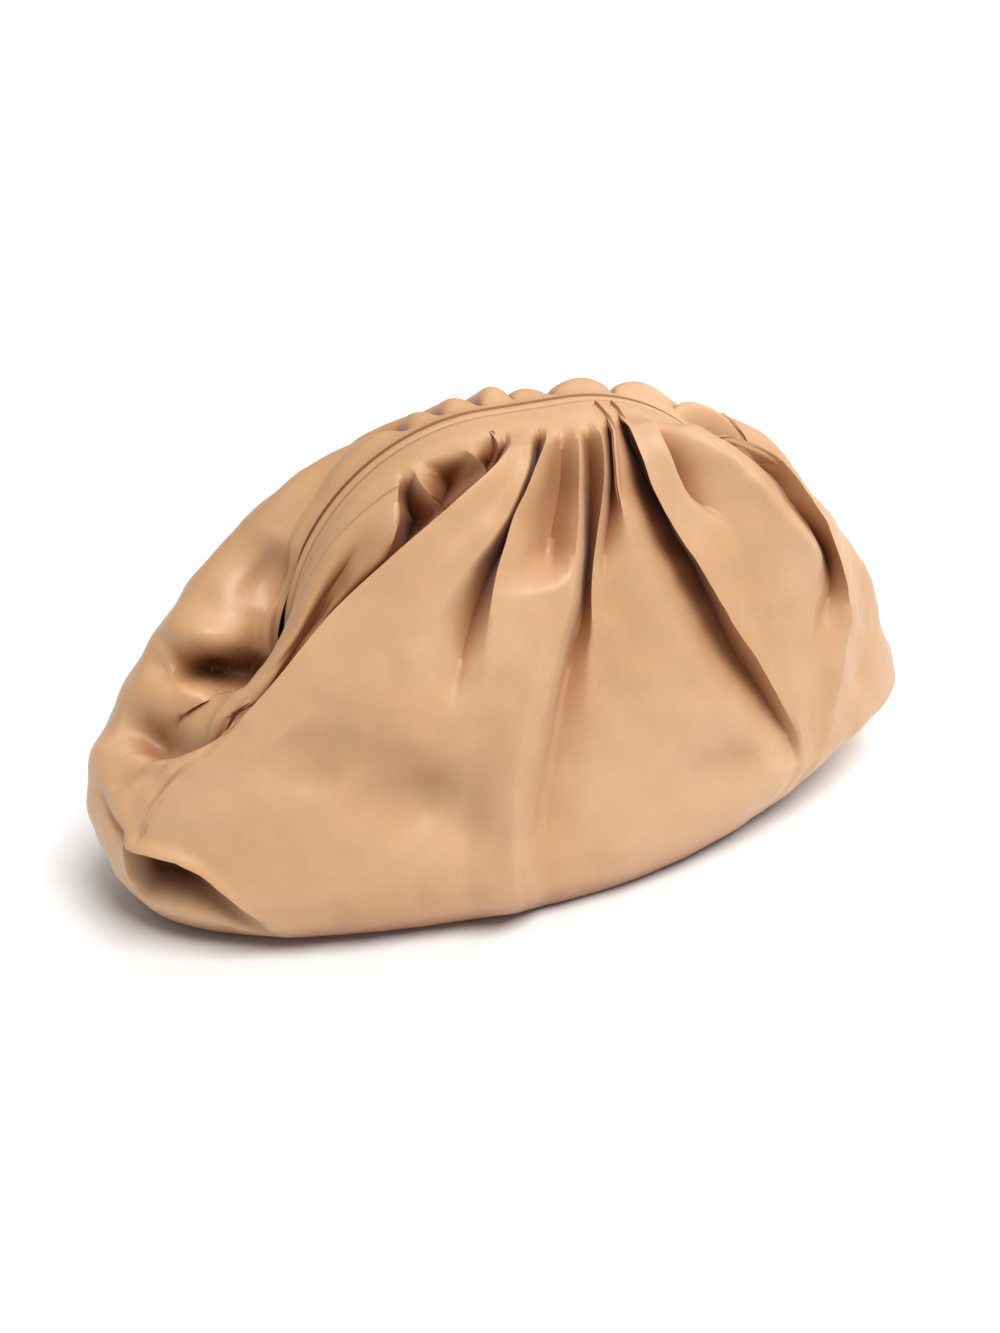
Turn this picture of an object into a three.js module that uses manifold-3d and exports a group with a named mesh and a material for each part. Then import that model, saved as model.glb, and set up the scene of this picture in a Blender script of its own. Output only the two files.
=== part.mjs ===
// A soft leather pouch bag: a shell gathered onto a hinged frame whose halves close along an arched mouth.
// Millimetres, +Z up, +X to the right along the mouth and -Y towards the front.

import * as THREE from 'three';
import Module from 'manifold-3d';
import { mergeVertices } from 'three/addons/utils/BufferGeometryUtils.js';

const wasm = await Module();
wasm.setup();

// The shell's driving sizes.
const BAG_LENGTH = 380; // between the two tips
const FRONT_DEPTH = 78; // from the mouth line to the fullest line in front
const BACK_DEPTH = 82;
const BELLY_HEIGHT = 32; // the fullest line's height at the middle of each side
const LEFT_TIP_HEIGHT = 56;
const RIGHT_TIP_HEIGHT = 36;
const FOOT_LENGTH = 290; // the patch that lies on the floor
const FOOT_FRONT = 52;
const FOOT_BACK = 60;
const LEATHER = 1.6;
const FOLD_HEIGHT = 20; // a full fold's height over the shell's plain form

// The frame's driving sizes.
const FRAME_SPAN = 216; // across the outside of its two arms
const FRAME_TOP = 200; // the arch's height above the floor
const FRAME_CORNER = 90; // the radius that joins an arm to the top
const HINGE_HEIGHT = 97; // the arms' lower ends
const BAND_WIDTH = 12; // the leather-covered band, across the arch
const BAND_DEPTH = 5.4; // and from the mouth outwards
const BAND_CORNER = 1.8;
const MOUTH_GAP = 0.6;
const CLEARANCE = 0.3;
const PIN_RADIUS = 1.8;
const PIN_HEIGHT = 7; // the pin's centre above the arms' ends

// How finely the shell is faceted: the fewest columns between a fold's line and the next, and the width at
// the breast, in millimetres, that gets another one.
const FOLD_STEPS = 2;
const WIDE_STEP = 30;

// Makes a row of named values from each list.
const table = (columns, rows) => rows.map((row) => (
  Object.fromEntries(columns.map((name, i) => [name, row[i]]))
));

// One row for each closed line round the bag, from the lip at the mouth down to the floor. way is how far
// down the leather it lies, from 0 to 1. The next three say where it lies between the lip (0) and the fullest
// line (1), and below that line between it (0) and the edge of the floor patch (1): along the bag, out from
// the mouth, and down. steps: how many faceted rows lead to this line.
const SECTIONS = table(['name', 'way', 'along', 'out', 'down', 'steps'], [
  ['lip', 0, 0, 0, 0, 0],
  ['yoke', 0.03, 0.03, 0.1, 0.01, 1],
  ['crown', 0.08, 0.08, 0.24, 0.04, 1],
  ['neck', 0.2, 0.34, 0.42, 0.13, 3],
  ['shoulder', 0.37, 0.62, 0.64, 0.32, 3],
  ['breast', 0.57, 0.86, 0.84, 0.62, 4],
  ['belly', 0.75, 1, 1, 1, 4],
]);
const LOWER_SECTIONS = table(['name', 'way', 'along', 'out', 'down', 'steps'], [
  ['hem', 0.82, 0.08, 0.08, 0.55, 2],
  ['heel', 0.89, 0.42, 0.4, 0.95, 2],
  ['foot', 1, 1, 1, 1, 1],
]);

// One row for each ridge or valley of the leather, in order round the bag. The first five numbers say where
// its line crosses the sections, as a share of the way from the left end (0) to the right end (1); it is
// straight down to the crown and from the belly on. The next six are its heights there, as shares of
// FOLD_HEIGHT, below 0 for a valley. soft: 1 rounds the line off, 0 leaves a crease.
const FOLD_COLUMNS = [
  'name', 'atLip', 'atNeck', 'atShoulder', 'atBreast', 'atBelly',
  'crown', 'neck', 'shoulder', 'breast', 'belly', 'hem', 'soft',
];
const FRONT_FOLDS = table(FOLD_COLUMNS, [
  ['left side', 0, 0, 0, 0, 0, 0, 0.2, 0.5, 0.5, 0.3, 0.3, 1],
  ['left limb', 0.1, 0.08, 0.06, 0.035, 0.02, 0.1, 0.2, 0.3, 0.2, 0.3, 0.3, 1],
  ['left limb top', 0.2, 0.16, 0.105, 0.05, 0.032, 0.2, 0.3, 0.2, -0.2, 0, 0.1, 1],
  ['tab one', 0.29, 0.245, 0.16, 0.07, 0.04, 0.2, 0.2, -0.1, -0.5, -0.2, 0, 0.8],
  ['pocket one', 0.322, 0.275, 0.183, 0.08, 0.046, -0.4, -0.4, -0.35, -0.6, -0.25, 0, 0.7],
  ['tab two', 0.352, 0.305, 0.203, 0.09, 0.052, 0.15, 0, -0.5, -0.7, -0.3, 0, 0.8],
  ['pocket two', 0.38, 0.333, 0.222, 0.1, 0.058, -0.45, -0.6, -0.7, -0.8, -0.4, 0, 0.7],
  ['tab three', 0.41, 0.358, 0.24, 0.112, 0.065, 0.1, -0.35, -0.9, -0.9, -0.5, 0, 0.8],
  ['under the sweep', 0.432, 0.378, 0.262, 0.13, 0.073, -0.4, -1, -1.2, -1, -0.6, -0.2, 0.5],
  ['sweep', 0.452, 0.37, 0.25, 0.13, 0.085, 0.25, 0.6, 0.7, 0.5, 0.4, 0.1, 0.8],
  ['sweep face', 0.469, 0.42, 0.34, 0.24, 0.22, 0.15, 0.3, 0.3, 0.2, 0.2, 0.1, 1],
  ['left valley', 0.48, 0.455, 0.412, 0.365, 0.34, -0.35, -0.7, -0.4, 0, 0.1, 0.1, 0.2],
  ['drop left', 0.497, 0.477, 0.442, 0.43, 0.428, 0.25, 0.3, 0.3, 0.3, 0.35, 0.2, 0.7],
  ['drop valley', 0.508, 0.484, 0.466, 0.443, 0.436, -0.25, -0.3, 0, 0.3, 0.35, 0.2, 0.4],
  ['drop right', 0.527, 0.513, 0.494, 0.456, 0.444, 0.25, 0.35, 0.4, 0.4, 0.35, 0.2, 0.6],
  ['drop hollow', 0.54, 0.52, 0.495, 0.468, 0.456, -0.25, -0.3, -0.3, -0.2, -0.1, 0, 0.3],
  ['middle pleat', 0.557, 0.54, 0.512, 0.49, 0.48, 0.2, 0.25, 0.1, -0.1, -0.05, 0, 0.6],
  ['middle valley', 0.566, 0.545, 0.518, 0.515, 0.53, -0.25, -0.3, -0.2, -0.1, 0, 0, 0.3],
  ['short pleat', 0.58, 0.567, 0.555, 0.56, 0.6, 0.15, 0, -0.1, -0.1, -0.1, 0, 0.7],
  ['right valley', 0.6, 0.582, 0.585, 0.612, 0.66, -0.45, -0.9, -0.8, -0.5, -0.5, -0.4, 0.2],
  ['right fold', 0.63, 0.62, 0.615, 0.645, 0.68, 0.25, 0.45, 0.4, 0.2, -0.3, -0.4, 0.7],
  ['right hollow', 0.668, 0.655, 0.67, 0.7, 0.7, -0.3, -0.5, 0, 0.2, -0.3, -0.4, 0.4],
  ['right sweep', 0.7, 0.77, 0.84, 0.79, 0.715, 0.2, 0.5, 0.5, 0.4, -0.2, -0.3, 0.5],
  ['right gusset', 0.8, 0.85, 0.89, 0.89, 0.86, 0, 0.2, 0.2, 0, -0.3, -0.3, 1],
  ['right limb', 0.9, 0.93, 0.95, 0.95, 0.94, 0.1, 0.1, 0.1, 0, 0, 0, 1],
]);
const BACK_FOLDS = table(FOLD_COLUMNS, [
  ['right side', 1, 1, 1, 1, 1, 0, 0.1, 0.2, 0, 0, 0, 1],
  ['back right limb', 0.9, 0.91, 0.92, 0.93, 0.93, 0.1, 0.2, 0.2, 0, 0, 0, 1],
  ['bump eight', 0.785, 0.81, 0.83, 0.86, 0.86, 0.5, 0.5, 0.4, 0.2, 0.1, 0, 0.8],
  ['gap eight', 0.745, 0.76, 0.78, 0.8, 0.8, -0.2, -0.4, -0.3, -0.1, 0, 0, 0.3],
  ['bump seven', 0.68, 0.69, 0.7, 0.72, 0.72, 0.7, 0.6, 0.4, 0.1, 0.1, 0, 0.8],
  ['gap seven', 0.63, 0.635, 0.64, 0.64, 0.64, -0.1, -0.4, -0.4, -0.3, 0, 0, 0.3],
  ['bump six', 0.59, 0.59, 0.59, 0.58, 0.58, 0.5, 0.4, 0.3, 0.1, 0.1, 0, 0.8],
  ['gap six', 0.56, 0.56, 0.555, 0.55, 0.55, -0.1, -0.3, -0.3, -0.1, 0, 0, 0.3],
  ['bump five', 0.525, 0.525, 0.52, 0.51, 0.5, 0.5, 0.5, 0.4, 0.2, 0.1, 0, 0.8],
  ['gap five', 0.495, 0.49, 0.48, 0.46, 0.45, -0.1, -0.3, -0.4, -0.3, 0, 0, 0.3],
  ['bump four', 0.445, 0.44, 0.43, 0.4, 0.38, 0.6, 0.6, 0.4, 0.2, 0.1, 0, 0.8],
  ['gap four', 0.4, 0.39, 0.37, 0.34, 0.32, 0, -0.2, -0.2, -0.1, 0, 0, 0.3],
  ['bump three', 0.37, 0.355, 0.335, 0.3, 0.28, 0.5, 0.5, 0.4, 0.2, 0.1, 0, 0.8],
  ['gap three', 0.345, 0.325, 0.3, 0.26, 0.24, 0, 0, 0.2, 0.2, 0, 0, 0.3],
  ['bump two', 0.31, 0.285, 0.26, 0.22, 0.2, 0.35, 0.5, 0.6, 0.5, 0.2, 0, 0.9],
  ['flank hollow', 0.24, 0.21, 0.18, 0.14, 0.13, -0.1, 0.3, 0.7, 0.7, 0.3, 0.1, 1],
  ['back left limb', 0.12, 0.1, 0.09, 0.07, 0.06, 0, 0.3, 0.7, 0.8, 0.4, 0.3, 1],
]);

// Folds and hollows that cross the others. Each follows the leather through three places, a place being a
// share round the bag (0 to 1 along the front, and below 0 back from the left end) and a way down. push is
// how far it is pressed in, or raised where it is below 0, and wide is its half width, both as shares of
// FOLD_HEIGHT.
const CROSS_COLUMNS = ['name', 'round1', 'way1', 'round2', 'way2', 'round3', 'way3', 'push', 'wide'];
const CROSS_FOLDS = table(CROSS_COLUMNS, [
  ['hinge fold', -0.08, 0.29, 0.06, 0.27, 0.2, 0.36, 0.8, 0.35],
  ['hinge ridge', -0.06, 0.4, 0.06, 0.38, 0.16, 0.42, -0.2, 0.5],
  ['tip fold', -0.06, 0.6, 0.05, 0.52, 0.15, 0.5, 0.5, 0.4],
  ['corner pocket', 0.05, 0.8, 0.14, 0.79, 0.25, 0.84, 1.1, 0.45],
]);
const YOKE_FOLDING = 0.2; // the folds' height at the yoke, as a share of that at the crown
const CREASE_STEEPNESS = 2.2;
const SHARPEST_CREASE = 0.5; // the cosine of the most that faces turn from their shared direction

const LIP_EASE = 0.05; // how much of each side the lip takes to turn round the end of an arm
const BELLY_SQUARENESS = 0.95; // 1 is an ellipse seen from above, more is a lens, and less is squarer
const FOOT_SQUARENESS = 1.2;

const KNOTS = [...SECTIONS, ...LOWER_SECTIONS].map(({ way }) => way);
const LAST = KNOTS.length - 1;

const mix = (a, b, t) => a + (b - a) * t;

// A smooth curve through one value for each section, read at a way down the leather.
function curveThrough(values, way) {
  const i = Math.max(0, KNOTS.findIndex((knot) => knot >= way) - 1);
  const slope = (k) => {
    const from = Math.max(k - 1, 0);
    const to = Math.min(k + 1, LAST);
    return (values[to] - values[from]) / (KNOTS[to] - KNOTS[from]);
  };
  const width = KNOTS[i + 1] - KNOTS[i];
  const t = (way - KNOTS[i]) / width;
  const rise = values[i + 1] - values[i];
  const [a, b] = [slope(i) * width, slope(i + 1) * width];
  return values[i] + t * a + t * t * (3 * rise - 2 * a - b) + t * t * t * (a + b - 2 * rise);
}

// A point on the frame's arch, at a share of its length from the left arm's end, and the outward direction.
function archAt(share, footHeight = HINGE_HEIGHT) {
  const arm = FRAME_TOP - FRAME_CORNER - footHeight;
  const corner = (FRAME_CORNER * Math.PI) / 2;
  const top = FRAME_SPAN - 2 * FRAME_CORNER;
  const way = Math.abs(share - 0.5) * (2 * arm + 2 * corner + top);
  const side = share < 0.5 ? -1 : 1;
  if (way < top / 2) return { x: side * way, z: FRAME_TOP, outX: 0, outZ: 1 };
  const turn = Math.min((way - top / 2) / FRAME_CORNER, Math.PI / 2);
  const armWay = Math.max(way - top / 2 - corner, 0);
  return {
    x: side * (top / 2 + FRAME_CORNER * Math.sin(turn)),
    z: FRAME_TOP - FRAME_CORNER + FRAME_CORNER * Math.cos(turn) - armWay,
    outX: side * Math.sin(turn),
    outZ: Math.cos(turn),
  };
}

const power = (value, exponent) => Math.sign(value) * Math.abs(value) ** exponent;

// The plain form of the shell, with no folds. round: 0 to 1 is the front, left to right, and 1 to 2 the back,
// right to left.
function plainForm(round, way) {
  const share = round <= 1 ? round : 2 - round;
  const angle = Math.PI * share;
  const front = round <= 1;
  const outward = front ? -1 : 1;
  const arch = archAt(share, HINGE_HEIGHT - CLEARANCE);
  const fromEnd = Math.max(0, Math.min(share, 1 - share)) / LIP_EASE;
  const clear = CLEARANCE + LEATHER * Math.min(1, Math.max(0, 2 - fromEnd));
  const lipDepth = (MOUTH_GAP / 2 + BAND_DEPTH + CLEARANCE) * Math.sqrt(Math.min(1, fromEnd));
  const oval = (length, depth, squareness) => [
    (-length / 2) * power(Math.cos(angle), squareness),
    outward * depth * power(Math.abs(Math.sin(angle)), squareness),
  ];
  const tip = mix(LEFT_TIP_HEIGHT, RIGHT_TIP_HEIGHT, share);
  const lip = [arch.x + arch.outX * clear, outward * lipDepth, arch.z + arch.outZ * clear];
  const belly = [
    ...oval(BAG_LENGTH, front ? FRONT_DEPTH : BACK_DEPTH, BELLY_SQUARENESS),
    mix(tip, BELLY_HEIGHT, Math.sin(angle)),
  ];
  const foot = [...oval(FOOT_LENGTH, front ? FOOT_FRONT : FOOT_BACK, FOOT_SQUARENESS), 0];
  return ['along', 'out', 'down'].map((key, i) => {
    const upper = SECTIONS.map((section) => mix(lip[i], belly[i], section[key]));
    const lower = LOWER_SECTIONS.map((section) => mix(belly[i], foot[i], section[key]));
    return curveThrough([...upper, ...lower], way);
  });
}

const subtract = (a, b) => a.map((value, i) => value - b[i]);
const cross = (a, b) => [a[1] * b[2] - a[2] * b[1], a[2] * b[0] - a[0] * b[2], a[0] * b[1] - a[1] * b[0]];
const dot = (a, b) => a.reduce((sum, value, i) => sum + value * b[i], 0);
const unit = (a) => a.map((value) => value / Math.hypot(...a));

// The outward direction of the plain form.
function plainNormal(round, way) {
  const step = 0.005;
  const turn = (value) => (value + 2) % 2;
  const alongLine = subtract(plainForm(turn(round + step), way), plainForm(turn(round - step), way));
  const below = plainForm(round, Math.min(way + step, 1));
  const above = plainForm(round, Math.max(way - step, 0));
  const downLine = subtract(below, above);
  return unit(cross(downLine, alongLine));
}

const FOLDS = [
  ...FRONT_FOLDS.map((fold) => ({ ...fold, turn: (share) => share })),
  ...BACK_FOLDS.map((fold) => ({ ...fold, turn: (share) => 2 - share })),
];

// Where a fold's line is at a way down the leather, and how far it stands out there.
function foldAt(fold, way) {
  const { atLip, atNeck, atShoulder, atBreast, atBelly, crown, neck, shoulder, breast, belly, hem } = fold;
  const shares = [atLip, atLip, atLip, atNeck, atShoulder, atBreast, atBelly, atBelly, atBelly, atBelly];
  const heights = [0, crown * YOKE_FOLDING, crown, neck, shoulder, breast, belly, hem, 0, 0];
  return { round: fold.turn(curveThrough(shares, way)), height: curveThrough(heights, way) * FOLD_HEIGHT };
}

// Goes from 0 to 1, level at a soft end and steep at a creased one.
function foldProfile(t, softStart, softEnd) {
  const start = (1 - softStart) * CREASE_STEEPNESS;
  const end = (1 - softEnd) * CREASE_STEEPNESS;
  return 3 * t * t - 2 * t * t * t + start * (t * t * t - 2 * t * t + t) + end * (t * t * t - t * t);
}

// The cross folds' lines over the plain form, each as a chain of points.
const CROSS_STEPS = 4; // from each place to the next
const CROSS_FADE = 0.6; // below 1 a cross fold keeps more of its depth near its ends
const CROSS_LINES = CROSS_FOLDS.map(({ round1, way1, round2, way2, round3, way3, push, wide }) => {
  const places = [[round1, way1], [round2, way2], [round3, way3]];
  const chain = Array.from({ length: 2 * CROSS_STEPS + 1 }, (_, i) => {
    const from = Math.min(Math.floor(i / CROSS_STEPS), 1);
    const t = i / CROSS_STEPS - from;
    const [round, way] = [0, 1].map((k) => mix(places[from][k], places[from + 1][k], t));
    return plainForm((round + 2) % 2, way);
  });
  return { chain, push: push * FOLD_HEIGHT, wide: wide * FOLD_HEIGHT };
});

// How far the cross folds press a point of the plain form in. Each fades towards its ends.
function crossFolding(point) {
  let depth = 0;
  for (const { push, wide, chain } of CROSS_LINES) {
    const links = chain.length - 1;
    let nearest = Infinity;
    let place = 0;
    for (let i = 0; i < links; i += 1) {
      const line = subtract(chain[i + 1], chain[i]);
      const toPoint = subtract(point, chain[i]);
      const along = Math.min(1, Math.max(0, dot(toPoint, line) / dot(line, line)));
      const gap = Math.hypot(...toPoint.map((value, k) => value - line[k] * along));
      if (gap < nearest) [nearest, place] = [gap, (i + along) / links];
    }
    depth += push * Math.sin(Math.PI * place) ** CROSS_FADE * Math.exp(-((nearest / wide) ** 2));
  }
  return depth;
}

// A point of the leather between one fold's line and the next.
function foldedForm(index, t, way) {
  const fold = FOLDS[index];
  const next = FOLDS[(index + 1) % FOLDS.length];
  const a = foldAt(fold, way);
  const b = foldAt(next, way);
  const round = mix(a.round, index === FOLDS.length - 1 ? 2 : b.round, t);
  const height = mix(a.height, b.height, foldProfile(t, fold.soft, next.soft));
  const plain = plainForm(round, way);
  const normal = plainNormal(round % 2, way);
  const pressed = height - crossFolding(plain);
  return plain.map((value, i) => value + normal[i] * pressed);
}

// The shell's columns, as places between the folds' lines, and its rows, as ways down the leather.
function shellColumns() {
  return FOLDS.flatMap((fold, index) => {
    const next = FOLDS[(index + 1) % FOLDS.length];
    const end = index === FOLDS.length - 1 ? 2 : next.turn(next.atBreast);
    const width = Math.abs(end - fold.turn(fold.atBreast)) * BAG_LENGTH;
    const steps = FOLD_STEPS + Math.floor(width / WIDE_STEP);
    return Array.from({ length: steps }, (_, i) => ({ index, t: i / steps }));
  });
}

function shellRows() {
  return [...SECTIONS, ...LOWER_SECTIONS].flatMap(({ steps }, section) => {
    if (section === 0) return [0];
    return Array.from({ length: steps }, (_, i) => mix(KNOTS[section - 1], KNOTS[section], (i + 1) / steps));
  });
}

// The step from the outer surface to the inner one at a place of the grid: square to the faces that meet
// there, and longer where they meet at an angle, so that the wall keeps its thickness.
function inwardStep(grid, row, column) {
  const count = grid[row].length;
  const last = grid.length - 1;
  if (row === last) return [0, 0, LEATHER];
  const [before, after] = [(column + count - 1) % count, (column + 1) % count];
  const normals = [];
  for (const [above, below] of [[row - 1, row], [row, row + 1]]) {
    if (above < 0) continue;
    for (const [left, right] of [[before, column], [column, after]]) {
      const down = subtract(grid[below][right], grid[above][left]);
      const up = subtract(grid[above][right], grid[below][left]);
      normals.push(unit(cross(down, up)));
    }
  }
  const normal = unit([0, 1, 2].map((i) => normals.reduce((sum, each) => sum + each[i], 0)));
  const squareness = normals.reduce((sum, each) => sum + dot(each, normal), 0) / normals.length;
  const stretch = row === 0 ? 1 : Math.max(squareness, SHARPEST_CREASE);
  return normal.map((value) => (-value * LEATHER) / stretch);
}

function meshFrom(positions, faces) {
  const geometry = new THREE.BufferGeometry();
  geometry.setAttribute('position', new THREE.Float32BufferAttribute(positions, 3));
  geometry.setIndex(faces);
  geometry.computeVertexNormals();
  return geometry;
}

// A closed wall between an outer grid of points and the inner one. The rows run round the bag from the mouth
// down, and a fan closes each surface at the bottom.
function shellGeometry() {
  const columns = shellColumns();
  const rows = shellRows();
  const count = columns.length;
  const last = rows.length - 1;
  const outer = rows.map((way) => columns.map(({ index, t }) => foldedForm(index, t, way)));
  const inner = outer.map((line, row) => line.map((point, column) => {
    const step = inwardStep(outer, row, column);
    return point.map((value, i) => value + step[i]);
  }));
  const positions = [...outer.flat(2), ...inner.flat(2), 0, 0, 0, 0, 0, LEATHER];
  const faces = [];
  const quad = (a, b, c, d) => faces.push(a, b, c, a, c, d);
  const inside = outer.length * count;
  const [outerMiddle, innerMiddle] = [2 * inside, 2 * inside + 1];
  for (let column = 0; column < count; column += 1) {
    const next = (column + 1) % count;
    for (let row = 0; row < last; row += 1) {
      const [here, below] = [row * count, (row + 1) * count];
      quad(here + column, below + column, below + next, here + next);
      quad(inside + here + column, inside + here + next, inside + below + next, inside + below + column);
    }
    quad(column, next, inside + next, inside + column);
    const bottom = last * count;
    faces.push(bottom + column, outerMiddle, bottom + next);
    faces.push(inside + bottom + column, inside + bottom + next, innerMiddle);
  }
  return meshFrom(positions, faces);
}

// One half of the frame: a band with rounded edges that follows the arch, behind (1) or in front of (-1) the
// mouth.
const BAND_STEPS = 36;

function bandGeometry(side) {
  const near = (side * MOUTH_GAP) / 2;
  const far = near + side * BAND_DEPTH;
  const outline = [
    [0, near + side * BAND_CORNER], [0, far - side * BAND_CORNER],
    [BAND_CORNER, far], [BAND_WIDTH - BAND_CORNER, far],
    [BAND_WIDTH, far - side * BAND_CORNER], [BAND_WIDTH, near + side * BAND_CORNER],
    [BAND_WIDTH - BAND_CORNER, near], [BAND_CORNER, near],
  ];
  if (side < 0) outline.reverse();
  const count = outline.length;
  const positions = [];
  for (let step = 0; step <= BAND_STEPS; step += 1) {
    const { x, z, outX, outZ } = archAt(step / BAND_STEPS);
    outline.forEach(([inward, y]) => positions.push(x - outX * inward, y, z - outZ * inward));
  }
  const faces = [];
  for (let step = 0; step < BAND_STEPS; step += 1) {
    for (let i = 0; i < count; i += 1) {
      const [a, b] = [step * count + i, step * count + ((i + 1) % count)];
      faces.push(a, a + count, b + count, a, b + count, b);
    }
  }
  const end = BAND_STEPS * count;
  for (let i = 1; i < count - 1; i += 1) {
    faces.push(0, i, i + 1, end, end + i + 1, end + i);
  }
  return meshFrom(positions, faces);
}

// The hinge pins run from front to back through the arms' ends.
const PIN_SIDES = 12;
const PIN_LENGTH = MOUTH_GAP + 2 * BAND_DEPTH;

function pinGeometry(side, radius, length) {
  const pin = new THREE.CylinderGeometry(radius, radius, length, PIN_SIDES);
  return pin.translate(side * (FRAME_SPAN / 2 - BAND_WIDTH / 2), 0, HINGE_HEIGHT + PIN_HEIGHT);
}

function solidFrom(geometry) {
  const bare = geometry.clone();
  bare.deleteAttribute('normal');
  bare.deleteAttribute('uv');
  const merged = mergeVertices(bare);
  return new wasm.Manifold(new wasm.Mesh({
    numProp: 3,
    vertProperties: new Float32Array(merged.attributes.position.array),
    triVerts: new Uint32Array(merged.index.array),
  }));
}

function drilledBand(side) {
  let band = solidFrom(bandGeometry(side));
  for (const end of [-1, 1]) {
    const hole = pinGeometry(end, PIN_RADIUS + CLEARANCE, 2 * PIN_LENGTH);
    band = band.subtract(solidFrom(hole));
  }
  const { vertProperties, triVerts } = band.getMesh();
  return meshFrom(Array.from(vertProperties), Array.from(triVerts));
}

const bag = new THREE.Group();
const leather = new THREE.MeshStandardMaterial({ color: 0xe0b184, roughness: 0.45, metalness: 0 });
const brass = new THREE.MeshStandardMaterial({ color: 0xc9a85c, roughness: 0.3, metalness: 1 });

function addPiece(name, geometry, material) {
  const piece = new THREE.Mesh(geometry, material);
  piece.name = name;
  bag.add(piece);
}

addPiece('leather_body', shellGeometry(), leather);
addPiece('front_frame', drilledBand(-1), leather);
addPiece('back_frame', drilledBand(1), leather);
addPiece('hinge_pin_left', pinGeometry(-1, PIN_RADIUS, PIN_LENGTH), brass);
addPiece('hinge_pin_right', pinGeometry(1, PIN_RADIUS, PIN_LENGTH), brass);

// The folds make the bag a little lopsided, so it is moved to stand with the middle of its box at the origin.
const middle = new THREE.Box3().setFromObject(bag).getCenter(new THREE.Vector3());
bag.position.set(-middle.x, -middle.y, 0);

export default bag;
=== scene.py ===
# A soft leather pouch bag, gathered onto a hinged frame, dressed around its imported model.
# Metres, +Z up, +X to the right along the mouth and -Y towards the front.

import math

import bpy
import numpy as np
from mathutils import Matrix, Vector


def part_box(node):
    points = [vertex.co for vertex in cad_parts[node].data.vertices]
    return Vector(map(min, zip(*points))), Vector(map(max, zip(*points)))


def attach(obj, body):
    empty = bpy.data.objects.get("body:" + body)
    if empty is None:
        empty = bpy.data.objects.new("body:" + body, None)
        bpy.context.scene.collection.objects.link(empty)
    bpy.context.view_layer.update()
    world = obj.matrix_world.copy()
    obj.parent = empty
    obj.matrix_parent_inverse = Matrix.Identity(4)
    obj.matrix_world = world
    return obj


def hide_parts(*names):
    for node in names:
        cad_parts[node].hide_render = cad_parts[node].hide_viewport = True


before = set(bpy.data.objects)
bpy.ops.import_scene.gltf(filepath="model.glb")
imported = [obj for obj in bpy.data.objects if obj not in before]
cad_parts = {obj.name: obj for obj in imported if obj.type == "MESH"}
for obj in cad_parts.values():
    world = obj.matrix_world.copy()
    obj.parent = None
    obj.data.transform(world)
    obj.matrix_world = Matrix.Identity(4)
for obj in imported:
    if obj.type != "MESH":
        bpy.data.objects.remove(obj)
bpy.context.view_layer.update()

MM = 0.001

# The photograph's camera, in its frame of 1000 by 1333 pixels.
PHOTO_WIDTH = 1000
PHOTO_HEIGHT = 1333
AIM_X = 526  # where the aimed point shows
AIM_Y = 645
FOCAL = 2185  # in pixels
YAW = math.radians(24)  # towards the bag's left, from straight in front
ELEVATION = math.radians(27.5)
DISTANCE = 0.95
AIM_HEIGHT = 0.09
SENSOR = 36  # millimetres, along the long side

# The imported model's own places.
band_low, band_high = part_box("front_frame")
MIDDLE_X = (band_low.x + band_high.x) / 2
MIDDLE_Y = (band_high.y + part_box("back_frame")[0].y) / 2
FRAME_SPAN = band_high.x - band_low.x
FRAME_TOP = band_high.z
HINGE_HEIGHT = band_low.z
BAND_DEPTH = band_high.y - band_low.y
MOUTH_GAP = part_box("back_frame")[0].y - band_high.y

# The shell's driving sizes.
BAG_LENGTH = 0.380
FRONT_DEPTH = 0.078
BACK_DEPTH = 0.082
BELLY_HEIGHT = 0.032
LEFT_TIP_HEIGHT = 0.056
RIGHT_TIP_HEIGHT = 0.036
FOOT_LEFT = 0.153  # how far the patch on the floor reaches from the middle
FOOT_RIGHT = 0.130
FOOT_FRONT = 0.052
FOOT_BACK = 0.060
LEATHER = 0.0016
CLEARANCE = 0.0003
FRAME_CORNER = 0.090
BAND_WIDTH = 0.012
LIP_EASE = 0.05
BELLY_RISE = 0.007  # how much higher the right half is fullest in front
RIGHT_SLIMMING = 0.2  # how much less deep the right half is in front
RIGHT_HALF_START = 0.45  # the share of a side where both begin, and the share over which they grow
RIGHT_HALF_BLEND = 0.4
BELLY_SQUARENESS = 0.95
FOOT_SQUARENESS = 1.2


def mix(a, b, t):
    return a + (b - a) * t


def smooth(t):
    t = np.clip(t, 0, 1)
    return t * t * (3 - 2 * t)


# The photograph's view of the bag, for placing folds by their pixels.
AIM = np.array([MIDDLE_X, MIDDLE_Y, AIM_HEIGHT])
BACKWARDS = np.array([
    -math.sin(YAW) * math.cos(ELEVATION),
    -math.cos(YAW) * math.cos(ELEVATION),
    math.sin(ELEVATION),
])
RIGHTWARDS = np.array([math.cos(YAW), -math.sin(YAW), 0])
UPWARDS = np.cross(BACKWARDS, RIGHTWARDS)
EYE = AIM + BACKWARDS * DISTANCE


def photo_pixels(points):
    """Where points of the row frame show in the photograph."""
    offset = points - EYE
    depth = -(offset @ BACKWARDS)
    x = AIM_X + FOCAL * (offset @ RIGHTWARDS) / depth
    y = AIM_Y - FOCAL * (offset @ UPWARDS) / depth
    return np.stack([x, y], -1)


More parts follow.
